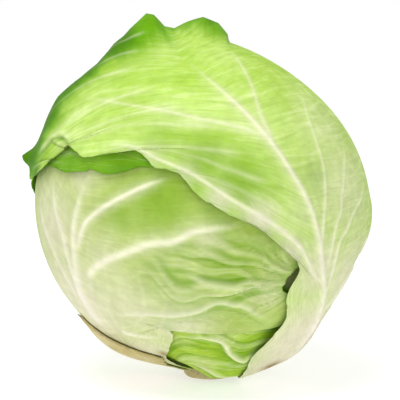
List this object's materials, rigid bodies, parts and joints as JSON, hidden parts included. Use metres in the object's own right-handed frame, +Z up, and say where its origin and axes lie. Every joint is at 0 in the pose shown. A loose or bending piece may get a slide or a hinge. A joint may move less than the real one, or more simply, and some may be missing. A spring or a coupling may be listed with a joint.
{
  "type": "cabbage head",
  "caption": "Round green cabbage head with overlapping pale-ribbed wrapper leaves and a short cut stalk it stands on.",
  "frame": {"origin": "middle of the stalk's flat cut face, on the surface that the head stands on", "axes": "+Z up through the head; -Y towards the side where the two wrapper leaves cross; +X to the right of it"},
  "size_m": [0.1852, 0.1802, 0.1955],
  "materials": {
    "outer_leaf": "satin",
    "pale_leaf": "satin",
    "cut_stalk": "matte",
    "dry_leaf_base": "matte"
  },
  "bodies": {
    "root": {"stalk": "cut_stalk", "heart": "pale_leaf", "right_wrapper_leaf": "outer_leaf", "left_wrapper_leaf": "pale_leaf", "upper_left_leaf": "outer_leaf", "lower_front_leaf": "outer_leaf", "right_under_leaf": "pale_leaf", "back_leaf": "outer_leaf", "trimmed_leaf_base": "dry_leaf_base"}
  },
  "joints": []
}
